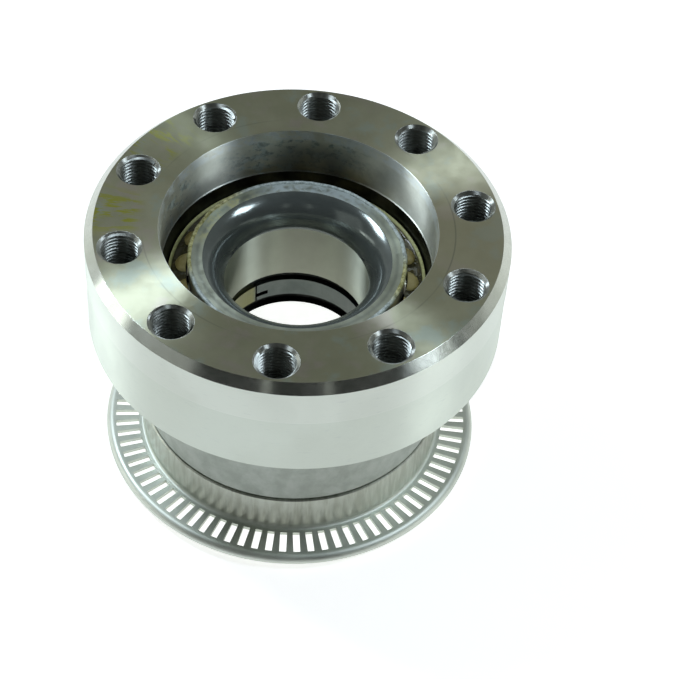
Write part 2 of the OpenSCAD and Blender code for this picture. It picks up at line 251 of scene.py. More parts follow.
class Finish(Shading):
    """A surface finish. Its measures are in millimetres and its angles in degrees."""

    def __init__(self, name):
        self.material = bpy.data.materials.new(name)
        self.material.use_nodes = True
        super().__init__(self.material.node_tree)

    def place(self):
        """The place on the piece, in metres."""
        return self.node("ShaderNodeTexCoord", out="Object")

    def across(self):
        """Distance from the unit's axis, and height."""
        x, y, z = self.parts(self.place())
        return (x * x + y * y) ** 0.5 * TO_MM, z * TO_MM

    def angle(self):
        """Angle round the unit's axis, from -90 to 270: 0 at the right, 90 at the back."""
        x, y, _ = self.parts(self.place())
        return self.node("ShaderNodeMath", {"operation": "ARCTAN2"}, [x * -1, y]) * (180 / pi) + 90

    def polar(self, round_scale, out_scale):
        """Coordinates that follow the turning: round the axis by the degree, and out from it or along it."""
        x, y, z = self.parts(self.place())
        r = (x * x + y * y) ** 0.5
        wide = round_scale * 180 / pi
        out = (r + z) * TO_MM * out_scale
        return self.node("ShaderNodeCombineXYZ", inputs=[x / r * wide, y / r * wide, out])

    def lay(self, value, scale):
        """Noise along one measure, such as the rings that a turning tool leaves."""
        return self.node(
            "ShaderNodeTexNoise", {"noise_dimensions": "1D"}, {"W": value, "Scale": scale, "Detail": 2.0}
        )

    def band(self, value, middle, half, soft):
        """One inside a band, nought outside it, with soft edges."""
        off = self.node("ShaderNodeMath", {"operation": "ABSOLUTE"}, [value - middle])
        return self.ramp(off, half + soft, half - soft)

    def patchy(self, noise, dark, light):
        """Two colours that follow a noise."""
        return self.mix(self.ramp(noise, *MID), dark, light)

    def stained(self, colour, *stains):
        """Lays stains on a colour, one over the other. A stain is (where and how much, tint)."""
        for amount, tint in stains:
            colour = self.mix(amount, colour, tint)
        return colour

    def bump(self, height, distance):
        """A relief: its height, and the distance in metres that a height of one stands for."""
        return self.node("ShaderNodeBump", inputs={"Height": height, "Strength": 1.0, "Distance": distance})

    def surface(self, lay=0.0, **sockets):
        """Ends the tree. lay is how far fine grooves round the axis draw the gloss out."""
        named = {key.replace("_", " ").title(): value for key, value in sockets.items()}
        if lay:
            named.update({"Anisotropic": lay, "Anisotropic Rotation": 0.25})
        shader = self.node("ShaderNodeBsdfPrincipled", inputs=named)
        self.node("ShaderNodeOutputMaterial", inputs=[shader])
        return self.material


def steel(name, dark, light, rough, *, grain, dents, lay=0.0, feed=0.0, soil=None, metal=1.0):
    """Bare steel: a patchy film of oil over the cutter's marks, and soil where some has gathered. grain is
    the film's scale, dents the depth of its relief in metres, and feed the strength of the cutter's marks.
    soil is (tint, scale, amount)."""
    f = Finish(name)
    film = f.noise(grain, 5, 0.6)
    fine = f.noise(grain * 9, 2, 0.5)
    colour = f.patchy(film, dark, light)
    roughness = f.ramp(film * 0.7 + fine * 0.3, 0.35, 0.65, *rough)
    height = film + fine * 0.25
    if feed:
        r, z = f.across()
        height = height + f.lay(r + z, 2.6) * feed
    if soil:
        tint, spread, amount = soil
        patch = f.ramp(f.noise(spread, 5, 0.65), 0.52, 0.66, 0, amount)
        colour = f.mix(patch, colour, tint)
        roughness = roughness + patch * 0.15
    normal = f.bump(height, dents)
    return f.surface(lay, base_color=colour, roughness=roughness, metallic=metal, normal=normal)


def turned_face():
    """The flange face: fine rings from the turning tool under an uneven film of oil with yellow smears, and a
    band of painted shade.
    """
    f = Finish("turned_face")
    r = f.across()[0]
    theta = f.angle()
    film, cloud, drops = f.noise(26, 5, 0.6), f.noise(48, 4, 0.6), f.noise(150, 1, 0.5)
    run = f.noise(1.0, 4, 0.6, where=f.polar(0.42, 0.07))
    smear = f.ramp(run, 0.47, 0.58) * (f.band(theta, 182, 8, 5) + f.band(theta, 149, 9, 7) * 0.7)
    smear = smear * f.ramp(r, 70, 78)
    scored = f.band(r, 71.8, 0.3, 0.25) * f.ramp(f.noise(18), 0.42, 0.6)
    colour = f.stained(
        f.patchy(film, (0.43, 0.445, 0.32), (0.56, 0.58, 0.44)),
        (f.ramp(cloud, 0.52, 0.66) * 0.35, (0.62, 0.54, 0.56)),
        (f.ramp(cloud, 0.46, 0.34) * 0.4, (0.46, 0.6, 0.6)),
        (f.band(theta, 10, 30, 25) * 0.4, (0.5, 0.46, 0.32)),
        # The darker olive band round 134 degrees is painted shade: it dims the reflection of the right-hand
        # lamp there.
        (f.band(theta, 134, 13, 9) * 0.6, (0.33, 0.35, 0.24)),
        (smear * 0.85, (0.5, 0.53, 0.05)),
        (scored * 0.5, (0.2, 0.21, 0.18)),
    )
    # Under a roughness of 0.275, the denoiser leaves small marks where this surface reflects the lamps.
    rough = f.ramp(film * 0.4 + drops * 0.2 + cloud * 0.4, 0.36, 0.64, 0.28, 0.36) + smear * 0.1
    puddle = f.band(theta, 228, 20, 8) * f.ramp(film, 0.38, 0.5) * f.ramp(r, 84, 76)
    ripple = f.node(
        "ShaderNodeTexWave", {"wave_type": "RINGS"},
        {"Vector": f.place(), "Scale": 60.0, "Distortion": 9.0, "Detail": 2.0, "Detail Scale": 1.2}, out=1,
    )
    height = f.lay(r, 2.2) * 0.3 + film * 2 + cloud * 2 + ripple * (puddle * 1.2)
    normal = f.bump(height, 2.2e-5)
    return f.surface(0.98, base_color=colour, roughness=rough, metallic=1.0, normal=normal)


def turned_rim():
    """The rim: a bright turned band, paler above the witness line, with a painted highlight along that line.
    """
    f = Finish("turned_rim")
    z = f.across()[1]
    line_z = unit_h - witness_z
    film = f.noise(22, 5, 0.6)
    marks = f.ramp(f.noise(1.0, 3, 0.6, where=f.polar(0.25, 0.9)), 0.6, 0.72)
    colour = f.stained(
        f.patchy(film, (0.62, 0.67, 0.6), (0.7, 0.75, 0.67)),
        (f.ramp(z, line_z - 0.4, line_z + 0.2) * 0.35, (0.76, 0.79, 0.73)),
        # A painted highlight along the witness line.
        (f.band(z, line_z - 0.1, 0.15, 0.25) * 0.7, (0.86, 0.88, 0.84)),
        (marks * 0.25, (0.5, 0.55, 0.52)),
    )
    rough = f.ramp(film, *MID, 0.34, 0.42)
    normal = f.bump(f.lay(z, 2.4) * 0.4 + film * 2, 2e-5)
    return f.surface(0.92, base_color=colour, roughness=rough, metallic=1.0, normal=normal)


def bored_wall():
    """The recess: a fine bored wall, smeared with blue-grey grease at the back and left. Painted shade
    darkens it at the back and low on the left, and a painted sheen lightens its top.
    """
    f = Finish("bored_wall")
    z = f.across()[1]
    theta = f.angle()
    film = f.noise(45, 5, 0.62)
    swirl = f.noise(1.0, 5, 0.7, where=f.polar(0.16, 0.22))
    greasy = f.ramp(swirl, 0.47, 0.6) * (f.band(theta, 98, 28, 14) + f.band(theta, 162, 14, 10))
    streaks = f.mix(f.ramp(f.noise(300, 4, 0.65), 0.4, 0.6), (0.2, 0.25, 0.25), (0.5, 0.6, 0.6))
    shaded = f.band(theta, 90, 18, 14) * f.ramp(z, unit_h - 2, unit_h - 13)
    # A painted sheen along the top, where the lead-in reflects the lamps, patchy with the swirl.
    wiped_and_sheen = f.ramp(z, unit_h - 6, unit_h - 4) * f.ramp(swirl, 0.4, 0.55)
    # Painted shade low down on the left.
    low = f.band(theta, 160, 30, 16) * f.ramp(z, unit_h - 12, unit_h - 23)
    colour = f.stained(
        f.patchy(film, (0.58, 0.605, 0.54), (0.8, 0.83, 0.755)),
        (greasy * 0.85, streaks),
        (shaded * 0.7, (0.12, 0.125, 0.11)),
        (wiped_and_sheen * 0.7, (0.74, 0.8, 0.8)),
        (low * 0.6, (0.12, 0.125, 0.12)),
    )
    rough = f.ramp(film, *MID, 0.37, 0.42) + greasy * 0.05
    normal = f.bump(f.lay(z, 2.0) * 0.3 + film + swirl, 4e-5)
    return f.surface(1.0, base_color=colour, roughness=rough, metallic=1 - greasy * 0.4, normal=normal)


def ground_face():
    """The outboard ring's face: ground steel under lumpy grey-blue grease, straw-coloured at the left, with a
    ring of painted shade between its edges.
    """
    f = Finish("ground_face")
    r = f.across()[0]
    theta = f.angle()
    film, lumps = f.noise(70, 6, 0.65), f.noise(360, 4, 0.6)
    wiped_and_sheen = f.noise(1.0, 5, 0.65, where=f.polar(0.3, 0.5))
    thick = f.band(theta, 84, 34, 12) * f.ramp(wiped_and_sheen * 0.5 + lumps * 0.5, 0.38, 0.56, 0.3, 1)
    straw = f.ramp(film * 0.6 + lumps * 0.4, 0.42, 0.54) * f.band(theta, 150, 24, 8)
    colour = f.stained(
        f.patchy(film, (0.4, 0.445, 0.375), (0.555, 0.6, 0.51)),
        # The darker ring in the middle of the face is painted shade, so that its two edges look bright, as
        # where they catch the light.
        (f.band(r, 46.6, 0.7, 0.9) * 0.5, (0.22, 0.25, 0.23)),
        (thick * 0.85, (0.5, 0.58, 0.6)),
        (straw * 0.85, (0.5, 0.5, 0.26)),
    )
    rough = f.ramp(film * 0.5 + wiped_and_sheen * 0.5, 0.35, 0.65, 0.3, 0.46)
    normal = f.bump(film + wiped_and_sheen * 1.5 + lumps * (thick + straw) * 1.5, 1e-4)
    metal = 1 - (thick + straw) * 0.6
    return f.surface(0.5, base_color=colour, roughness=rough, metallic=metal, normal=normal)


def row_places(f):
    """The places s and n of a rolling row, from the height above or below the rings' joint."""
    r, z = f.across()
    up = f.node("ShaderNodeMath", {"operation": "ABSOLUTE"}, [z - joint_z]) - apex
    return r * sin(row_angle) + up * cos(row_angle), r * cos(row_angle) - up * sin(row_angle)


def tone_sheet():
    """The tone ring: bright drawn sheet, with dull olive streaks from drawing on its sleeve."""
    f = Finish("tone_sheet")
    z = f.across()[1]
    film = f.noise(40, 5, 0.6)
    drawn = f.noise(1.0, 3, 0.6, where=f.polar(0.5, 0.05))
    sleeve = f.ramp(z, tone_top + 0.5, tone_top + 4)
    colour = f.stained(
        f.patchy(film, (0.6, 0.64, 0.58), (0.73, 0.77, 0.7)),
        (sleeve * f.ramp(drawn, 0.35, 0.65, 0.5, 0.85), (0.36, 0.37, 0.31)),
    )
    rough = f.ramp(film, *MID, 0.46, 0.54) - sleeve * 0.08
    return f.surface(base_color=colour, roughness=rough, metallic=1.0, normal=f.bump(film + drawn, 8e-6))


def moulded_cage():
    """The cage: straw-coloured moulding, dark grease and painted shade in its channel and pockets, pale on
    its edges.
    """
    f = Finish("moulded_cage")
    s, n = row_places(f)
    film = f.noise(130, 5, 0.6)
    floor = row_reach + pocket_gap + cage_floor
    # The channel's near-black colour is grease and painted shade, darkest down at its floor.
    grease = f.ramp(s, floor + 1.1, floor + 0.2) * f.ramp(film, 0.2, 0.5, 0.75, 1.0)
    colour = f.stained(
        f.patchy(film, (0.56, 0.44, 0.15), (0.74, 0.62, 0.28)),
        (f.ramp(n, 4.2, 5.0) * 0.8, (0.6, 0.64, 0.3)),
        (grease * 0.94, (0.05, 0.045, 0.018)),
    )
    rough = f.ramp(film, *MID, 0.3, 0.46) - grease * 0.12
    return f.surface(base_color=colour, roughness=rough, normal=f.bump(film + f.noise(900) * 0.2, 1e-4))


def smeared_grease():
    """Grease that has crept out round the outboard ring: blue-white, and straw-coloured at the left."""
    f = Finish("smeared_grease")
    theta = f.angle()
    lumps = f.noise(420, 4, 0.6)
    depth = f.ramp(lumps, 0.35, 0.65)
    blue = f.mix(depth, (0.3, 0.35, 0.34), (0.58, 0.66, 0.65))
    straw = f.mix(depth, (0.26, 0.25, 0.09), (0.62, 0.6, 0.3))
    colour = f.mix(f.band(theta, 165, 35, 8) + f.band(theta, -8, 14, 8), blue, straw)
    rough = f.ramp(lumps, *MID, 0.2, 0.4)
    return f.surface(base_color=colour, roughness=rough, normal=f.bump(lumps, 2e-4))


def spring_clip():
    """The clip ring: grey-green spring steel, with old straw-coloured oil beside its split."""
    f = Finish("spring_clip")
    film = f.noise(60, 4, 0.6)
    oil = f.band(f.angle(), 145, 14, 3) * f.ramp(film, 0.25, 0.5, 0.5, 1)
    colour = f.stained(
        f.patchy(film, (0.085, 0.1, 0.09), (0.135, 0.155, 0.14)),
        (oil * 0.8, (0.2, 0.2, 0.08)),
    )
    rough = f.ramp(film, *MID, 0.3, 0.42)
    return f.surface(base_color=colour, roughness=rough, metallic=1.0, normal=f.bump(film, 5e-5))


def sealing_rubber():
    """The seal's lip: matt black rubber."""
    f = Finish("sealing_rubber")
    film = f.noise(140, 5, 0.6)
    colour = f.patchy(film, (0.02, 0.02, 0.021), (0.05, 0.048, 0.045))
    rough = f.ramp(film, *MID, 0.45, 0.65)
    return f.surface(base_color=colour, roughness=rough, normal=f.bump(f.noise(1200), 4e-5))


FINISHES = {
    "face": turned_face(),
    "chamfer": steel(
        "turned_chamfer", (0.56, 0.59, 0.53), (0.7, 0.73, 0.67), (0.18, 0.24),
        lay=0.98, grain=60, dents=2e-5, feed=0.3,
    ),
    "rim": turned_rim(),
    "body": steel(
        "dull_body", (0.32, 0.35, 0.31), (0.46, 0.49, 0.45), (0.46, 0.58),
        lay=0.4, grain=110, dents=9e-5, feed=0.5,
    ),
    "wall": bored_wall(),
    # Near-black raceways: grease and painted shade, as they lie deep between the rings.
    "race": steel(
        "greased_race", (0.03, 0.032, 0.028), (0.08, 0.084, 0.074), (0.28, 0.4), grain=60, dents=4e-5
    ),
    "hole": steel(
        "drilled_hole", (0.36, 0.38, 0.35), (0.54, 0.56, 0.53), (0.36, 0.42), lay=1.0, grain=160, dents=1e-5
    ),
    "ring_face": ground_face(),
    "mouth": steel(
        "polished_mouth", (0.14, 0.16, 0.152), (0.2, 0.225, 0.215), (0.13, 0.18),
        grain=45, dents=4e-5, metal=0.6,
    ),
    "bore": steel(
        "ground_bore", (0.475, 0.5, 0.4), (0.57, 0.595, 0.49), (0.4, 0.44),
        lay=1.0, grain=30, dents=2e-5, feed=0.2,
    ),
    # The inboard ring's bore: polished, and painted paler than the outboard ring's, so that it shows the
    # floor's reflection as white.
    "low_bore": steel(
        "bright_bore", (0.84, 0.86, 0.83), (0.93, 0.94, 0.92), (0.1, 0.16), grain=30, dents=1e-5, feed=0.2
    ),
    # Near black for the gaps, grooves and hole bottoms: grease and painted shade.
    "black": steel(
        "greased_gap", (0.015, 0.016, 0.015), (0.05, 0.052, 0.048), (0.3, 0.5), grain=80, dents=8e-5
    ),
    "cage": moulded_cage(),
    "seal": steel(
        "pressed_seal", (0.4, 0.41, 0.4), (0.54, 0.55, 0.53), (0.3, 0.44),
        lay=0.5, grain=90, dents=4e-5, feed=0.3,
    ),
    "rubber": sealing_rubber(),
    "clip": spring_clip(),
    "grease": smeared_grease(),
    "spring": steel(
        "coiled_spring", (0.4, 0.4, 0.38), (0.56, 0.56, 0.54), (0.25, 0.36), grain=200, dents=3e-5
    ),
    "roller": steel(
        "polished_roller", (0.34, 0.33, 0.27), (0.5, 0.49, 0.43), (0.1, 0.2),
        grain=120, dents=1e-5, soil=((0.2, 0.17, 0.08), 120, 0.6),
    ),
    "tone": tone_sheet(),
    "thread": steel(
        "cut_thread", (0.36, 0.39, 0.37), (0.5, 0.53, 0.51), (0.34, 0.4),
        lay=1.0, grain=300, dents=1e-5, soil=((0.06, 0.06, 0.05), 90, 0.7),
    ),
}


def turned(vector, angle):
    """A plane vector, turned counter-clockwise."""
    return Vector(
        (vector.x * cos(angle) - vector.y * sin(angle), vector.x * sin(angle) + vector.y * cos(angle))
    )


def outline(corners):
    """Eases the corners of a section, counter-clockwise. A corner is (r, z, ease, finish of the side that
    leaves it, centre of that side where it is an arc). Gives spans of (finish, [(point, normal), ...])."""
    sides = []
    for i, corner in enumerate(corners):
        start, end = Vector(corner[:2]), Vector(corners[(i + 1) % len(corners)][:2])
        centre, bulge = None, 0
        if len(corner) > 4:
            centre = Vector(corner[4])
            bulge = 1 if turned(start - centre, pi / 2).dot(end - start) > 0 else -1
            leave = turned(start - centre, bulge * pi / 2).normalized()
            arrive = turned(end - centre, bulge * pi / 2).normalized()
        else:
            leave = arrive = (end - start).normalized()
        sides.append((start, end, leave, arrive, centre, bulge))
    cuts = []
    for i, corner in enumerate(corners):
        a, b = sides[i - 1][3], sides[i][2]
        turn = atan2(a.x * b.y - a.y * b.x, a.dot(b))
        cuts.append((turn, corner[2] * tan(abs(turn) / 2)))
    spans = []
    for i, corner in enumerate(corners):
        ease, finish = corner[2:4]
        turn, reach = cuts[i]
        if ease and abs(turn) > STRAIGHT:
            came = sides[i - 1][3]
            normal = Vector((came.y, -came.x))
            sign = 1 if turn > 0 else -1
            centre = Vector(corner[:2]) - came * reach - normal * sign * ease
            steps = max(2, ceil(degrees(abs(turn)) / EASE_STEP))
            bend = [turned(normal, turn * k / steps) for k in range(steps + 1)]
            spans.append((finish, [(centre + n * sign * ease, n) for n in bend]))
        start, end, leave, _, centre, bulge = sides[i]
        next_reach = cuts[(i + 1) % len(corners)][1]
        if centre:
            radius = (start - centre).length
            first = atan2(*(start - centre).yx) + bulge * reach / radius
            last = atan2(*(end - centre).yx) - bulge * next_reach / radius
            sweep = (last - first + pi) % (2 * pi) - pi
            steps = max(4, ceil(degrees(abs(sweep)) / ARC_STEP))
            turns = [first + sweep * k / steps for k in range(steps + 1)]
            arc = [Vector((cos(a), sin(a))) for a in turns]
            spans.append((finish, [(centre + n * radius, n * bulge) for n in arc]))
        else:
            normal = Vector((leave.y, -leave.x))
            spans.append((finish, [(start + leave * reach, normal), (end - leave * next_reach, normal)]))
    return spans


class Turning:
    """A solid built of surfaces swept round axes, with the section's own normals and a finish for each."""

    def __init__(self, name):
        self.name, self.places, self.points = name, {}, []
        self.faces, self.normals, self.slots, self.finishes = [], [], [], []

    def point(self, p):
        """The number of a point, which faces that meet there share."""
        key = tuple(round(c, 4) for c in p)
        if key not in self.places:
            self.places[key] = len(self.points)
            self.points.append(tuple(c * MM for c in p))
        return self.places[key]

    def face(self, corners, normals, finish):
        """Adds a face, less any corner that falls on the one before it."""
        ids = [self.point(c) for c in corners]
        keep = [i for i in range(len(ids)) if ids[i] != ids[i - 1]]
        if len(keep) < 3:
            return
        if finish not in self.finishes:
            self.finishes.append(finish)
        self.faces.append([ids[i] for i in keep])
        self.normals.append([tuple(normals[i]) for i in keep])
        self.slots.append(self.finishes.index(finish))

    def sweep(self, spans, steps, place=Matrix.Identity(4)):
        """Turns a section's spans round the axis, and then puts them in place."""
        spin = place.to_3x3()
        ring = [(cos(2 * pi * k / steps), sin(2 * pi * k / steps)) for k in range(steps)]

        def turn(v, k):
            c, s = ring[k % steps]
            return Vector((v.x * c, v.x * s, v.y))

        for finish, span in spans:
            if finish is None:
                continue
            for (p, m), (q, n) in zip(span, span[1:]):
                for k in range(steps):
                    corners = [turn(p, k), turn(p, k + 1), turn(q, k + 1), turn(q, k)]
                    normals = [turn(m, k), turn(m, k + 1), turn(n, k + 1), turn(n, k)]
                    self.face([place @ v for v in corners], [spin @ v for v in normals], finish)
        return self

    def fill(self, loops, normal, finish):
        """Fills the flat face between closed loops of points."""
        bm = bmesh.new()
        for loop in loops:
            made = [bm.verts.new(p) for p in loop]
            for a, b in zip(made, made[1:] + made[:1]):
                bm.edges.new((a, b))
        bmesh.ops.triangle_fill(bm, use_beauty=True, use_dissolve=False, edges=bm.edges[:], normal=normal)
        for face in bm.faces:
            corners = [v.co.copy() for v in face.verts]
            if face.normal.dot(Vector(normal)) < 0:
                corners.reverse()
            self.face(corners, [normal] * len(corners), finish)
        bm.free()

    def piece(self, body, *nodes, slot=None):
        """Makes a piece of the faces, with their own normals, and hands it over."""
        mesh = bpy.data.meshes.new(self.name)
        mesh.from_pydata(self.points, [], self.faces)
        for finish in self.finishes:
            mesh.materials.append(FINISHES[finish])
        mesh.polygons.foreach_set("material_index", self.slots)
        mesh.polygons.foreach_set("use_smooth", [True] * len(self.faces))
        mesh.normals_split_custom_set([n for corners in self.normals for n in corners])
        hand_over(bpy.data.objects.new(self.name, mesh), body, nodes)


def hand_over(piece, body, nodes=()):
    """Puts a piece on its body, and hides the CAD nodes that it stands for."""
    if piece.name not in bpy.context.scene.collection.objects:
        bpy.context.scene.collection.objects.link(piece)
    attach(piece, body)
    if nodes:
        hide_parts(*nodes)


def smooth(mesh, angle):
    """Shades a mesh smooth, but keeps the edges that are sharper than an angle in degrees."""
    mesh.polygons.foreach_set("use_smooth", [True] * len(mesh.polygons))
    mesh.set_sharp_from_angle(angle=radians(angle))


def smooth_copy(name, node, body, finish, angle=28):
    """A merged, smooth-shaded copy of a CAD node's mesh, to stand for it."""
    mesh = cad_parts[node].data.copy()
    mesh.name = name
    bm = bmesh.new()
    bm.from_mesh(mesh)
    bmesh.ops.remove_doubles(bm, verts=bm.verts, dist=WELD)
    bm.to_mesh(mesh)
    bm.free()
    mesh.materials.clear()
    mesh.materials.append(FINISHES[finish])
    mesh.polygons.foreach_set("material_index", [0] * len(mesh.polygons))
    smooth(mesh, angle)
    hand_over(bpy.data.objects.new(name, mesh), body, [node])


def circle(radius, z, steps, centre=(0, 0)):
    """Points round a circle."""
    turns = [2 * pi * k / steps for k in range(steps)]
    return [(centre[0] + radius * cos(a), centre[1] + radius * sin(a), z) for a in turns]


def outer_ring():
    """The hub's outer ring: its turned section, with the flange face filled round the tapped holes."""
    neck = (body_r + neck_fillet, flange_low - neck_fillet)
    corners = [
        (recess_r + recess_ledge, end_z, 0.1, "body"),
        (seat_r - end_chamfer, end_z, 0.1, "body"),
        (seat_r, end_z + end_chamfer, 0.1, "body"),
        (seat_r, shoulder_z, 0.1, "body"),
        (body_r, shoulder_z, 0.15, "body"),
        (body_r, neck[1], 0, "body", neck),
        (neck[0], flange_low, 0, "body"),
        (flange_r - witness_depth - under_chamfer, flange_low, 0.15, "rim"),
        (flange_r - witness_depth, flange_low + under_chamfer, 0.15, "rim"),
        (flange_r - witness_depth, unit_h - witness_z - witness_depth, 0.05, "rim"),
        (flange_r, unit_h - witness_z, 0.05, "rim"),
        (flange_r, unit_h - rim_chamfer, 0.2, "chamfer"),
        (flange_r - rim_chamfer, unit_h, 0.2, None),
        (recess_r + lead_in, unit_h, 0.25, "wall"),
        (recess_r, unit_h - lead_in_h, 0.3, "wall"),
        (recess_r, recess_z, 0.15, "wall"),
        (race_mouth[0], joint_z + race_mouth[1], 0.15, "race"),
        (race_toe[0], joint_z + race_toe[1], 0.1, "black"),
        (waist_r, joint_z + race_toe[1] - waist_depth, 0.1, "black"),
        (waist_r, joint_z - race_toe[1] + waist_depth, 0.1, "black"),
        (race_toe[0], joint_z - race_toe[1], 0.1, "race"),
        (race_mouth[0], seal_top, 0, "body"),
        (recess_r, seal_top, 0, "body"),
        (recess_r, end_z + recess_ledge, 0.1, "body"),
    ]
    spans = outline(corners)
    # Only the flat of the flange face keeps no finish. Its eased edges belong to the chamfer.
    spans = [("chamfer" if finish is None and len(span) > 2 else finish, span) for finish, span in spans]
    solid = Turning("outer_ring").sweep(spans, RING_STEPS)
    face = next(span for finish, span in spans if finish is None)
    loops = [circle(point.x, unit_h, RING_STEPS) for point, _ in face]
    tip = thread_depth + thread_r / tan(drill_point / 2)
    # A hole's section. The sides by way of two corners far out only close it, and aren't swept.
    hole = outline(
        [
            (0, -tip, 0, "black"),
            (40, -tip - 10, 0, "black"),
            (thread_r + countersink + 20, 0, 0, "black"),
            (thread_r + countersink, 0, 0.25, "hole"),
            (thread_r, -countersink, 0, "hole"),
            (thread_r, -thread_depth, 0, "black"),
        ]
    )
    wall = hole[next(i for i, (finish, _) in enumerate(hole) if finish == "hole"):]
    edge_r = wall[0][1][0][0].x
    for k in range(hole_count):
        a = radians(90 - 360 * k / hole_count)
        centre = (bolt_circle_r * cos(a), bolt_circle_r * sin(a))
        solid.sweep(wall, HOLE_STEPS, Matrix.Translation((*centre, unit_h)))
        loops.append(circle(edge_r, unit_h, HOLE_STEPS, centre))
    solid.fill(loops, (0, 0, 1), "face")
    solid.piece("hub", "hub_outer_ring", slot="turned_steel")


def threads():
    """The ridges of the threads: one helix with a thread's section, repeated round the bolt circle. They
    stand a little way into the holes' walls, and their foot and crest are shares of the pitch."""
    sink, foot, crest = 0.06, 0.875, 0.25
    p = Pattern(
        "threads", Holes=hole_count, Circle=bolt_circle_r * MM, Radius=(thread_r + sink) * MM,
        Pitch=thread_pitch * MM, Height=(thread_height + sink) * MM, Depth=(thread_depth - countersink) * MM,
        Top=unit_h * MM, Finish=FINISHES["thread"],
    )
    radius, pitch, depth = p.size("Radius"), p.size("Pitch"), p.size("Depth")
    helix = p.node(
        "GeometryNodeCurveSpiral",
        inputs={
            "Resolution": THREAD_STEPS, "Rotations": depth / pitch,
            "Start Radius": radius, "End Radius": radius, "Height": depth,
        },
    )
    upright = p.node("GeometryNodeSetCurveNormal", {"mode": "Z_UP"}, {"Curve": helix})
    ridge = p.node(
        "GeometryNodeCurvePrimitiveQuadrilateral",
        {"mode": "TRAPEZOID"},
        {"Bottom Width": pitch * foot, "Top Width": pitch * crest, "Offset": 0.0, "Height": p.size("Height")},
    )
    inward = p.node("GeometryNodeTransform", inputs={"Geometry": ridge, "Rotation": (0, 0, -pi / 2)})
    thread = p.node(
        "GeometryNodeCurveToMesh", inputs={"Curve": upright, "Profile Curve": inward, "Fill Caps": True}
    )
    low_end = p.size("Top") - depth - countersink * MM
    corner = p.node("ShaderNodeCombineXYZ", inputs=[p.size("Circle"), 0.0, low_end])
    placed = p.node("GeometryNodeTransform", inputs={"Geometry": thread, "Translation": corner})
    p.finish(p.round_the_axis(placed, p.size("Holes"), pi / 2, -1.0))
    made = p.piece("threads", bpy.data.meshes.new("threads"))
    smooth(made.data, angle=40)
    hand_over(made, "hub")


def tone_sector():
    """One slot's share of the tone ring, as a mesh: the drawn sheet's section with the slot through it."""
    foot = (seat_r + tone_bend + tone_gauge, tone_low + tone_bend + tone_gauge)
    edge = (tone_r - tone_bend - tone_gauge, tone_top - tone_bend - tone_gauge)
    slot_out_r = slot_in_r + slot_len
    sleeve_r = seat_r + tone_gauge
    corners = [
        (seat_r, foot[1], 0, 0, foot),
        (foot[0], tone_low, 0, 0),
        (slot_in_r, tone_low, 0, 0),
        (slot_out_r, tone_low, 0, 0),
        (edge[0], tone_low, 0, 0, edge),
        (tone_r - tone_gauge, edge[1], 0, 0),
        (tone_r - tone_gauge, edge[1] - tone_lip, 0.2, 0),
        (tone_r, edge[1] - tone_lip, 0.4, 0),
        (tone_r, edge[1], 0, 0, edge),
        (edge[0], tone_top, 0, 0),
        (slot_out_r, tone_top, 0, 0),
        (slot_in_r, tone_top, 0, 0),
        (foot[0], tone_top, 0, 0, foot),
        (sleeve_r, foot[1], 0, 0),
        (sleeve_r, sleeve_top - tone_chamfer, 0.15, 0),
        (sleeve_r - tone_chamfer, sleeve_top, 0.15, 0),
        (seat_r, sleeve_top, 0.15, 0),
    ]
    line = []
    for _, span in outline(corners):
        for point, _ in span:
            if not line or (point - line[-1]).length > SAME:
                line.append(point)
    if (line[0] - line[-1]).length < SAME:
        line.pop()

    half = pi / slot_count

    def columns(r):
        """The angles of the sector's edges, the slot's sides and the middle, at a radius."""
        side = asin(slot_w / 2 / r)
        return [-half, -side, 0.0, side, half]

    bm = bmesh.new()
    grid = [
        [bm.verts.new((p.x * cos(a) * MM, p.x * sin(a) * MM, p.y * MM)) for a in columns(p.x)] for p in line
    ]

    def in_slot(p):
        return slot_in_r - SAME < p.x < slot_out_r + SAME and tone_low - SAME < p.y < tone_top + SAME

    for i, p in enumerate(line):
        j = (i + 1) % len(line)
        open_here = in_slot(p) and in_slot(line[j])
        for k in range(4):
            if not (open_here and k in (1, 2)):
                bm.faces.new((grid[i][k], grid[i][k + 1], grid[j][k + 1], grid[j][k]))

    def row_at(r, z):
        """The grid's row at an end of the slot."""
        return next(row for row, p in zip(grid, line) if abs(p.x - r) < SAME and abs(p.y - z) < SAME)

    a, b = row_at(slot_in_r, tone_low), row_at(slot_out_r, tone_low)
    c, d = row_at(slot_out_r, tone_top), row_at(slot_in_r, tone_top)
    bm.faces.new((a[1], b[1], c[1], d[1]))
    bm.faces.new((b[3], a[3], d[3], c[3]))
    for k in (1, 2):
        bm.faces.new((a[k + 1], a[k], d[k], d[k + 1]))
        bm.faces.new((b[k], b[k + 1], c[k + 1], c[k]))
    mesh = bpy.data.meshes.new("tone_sector")
    bm.to_mesh(mesh)
    bm.free()
    return mesh


def tone_ring():
    """The slotted tone ring, from one slot's share of it."""
    p = Pattern("slotted_ring", Slots=slot_count, Finish=FINISHES["tone"])
    p.finish(p.round_the_axis(p.size("Geometry"), p.size("Slots")))
    made = p.piece("slotted_ring", tone_sector())
    smooth(made.data, angle=35)
    hand_over(made, "hub", ["tone_ring"])


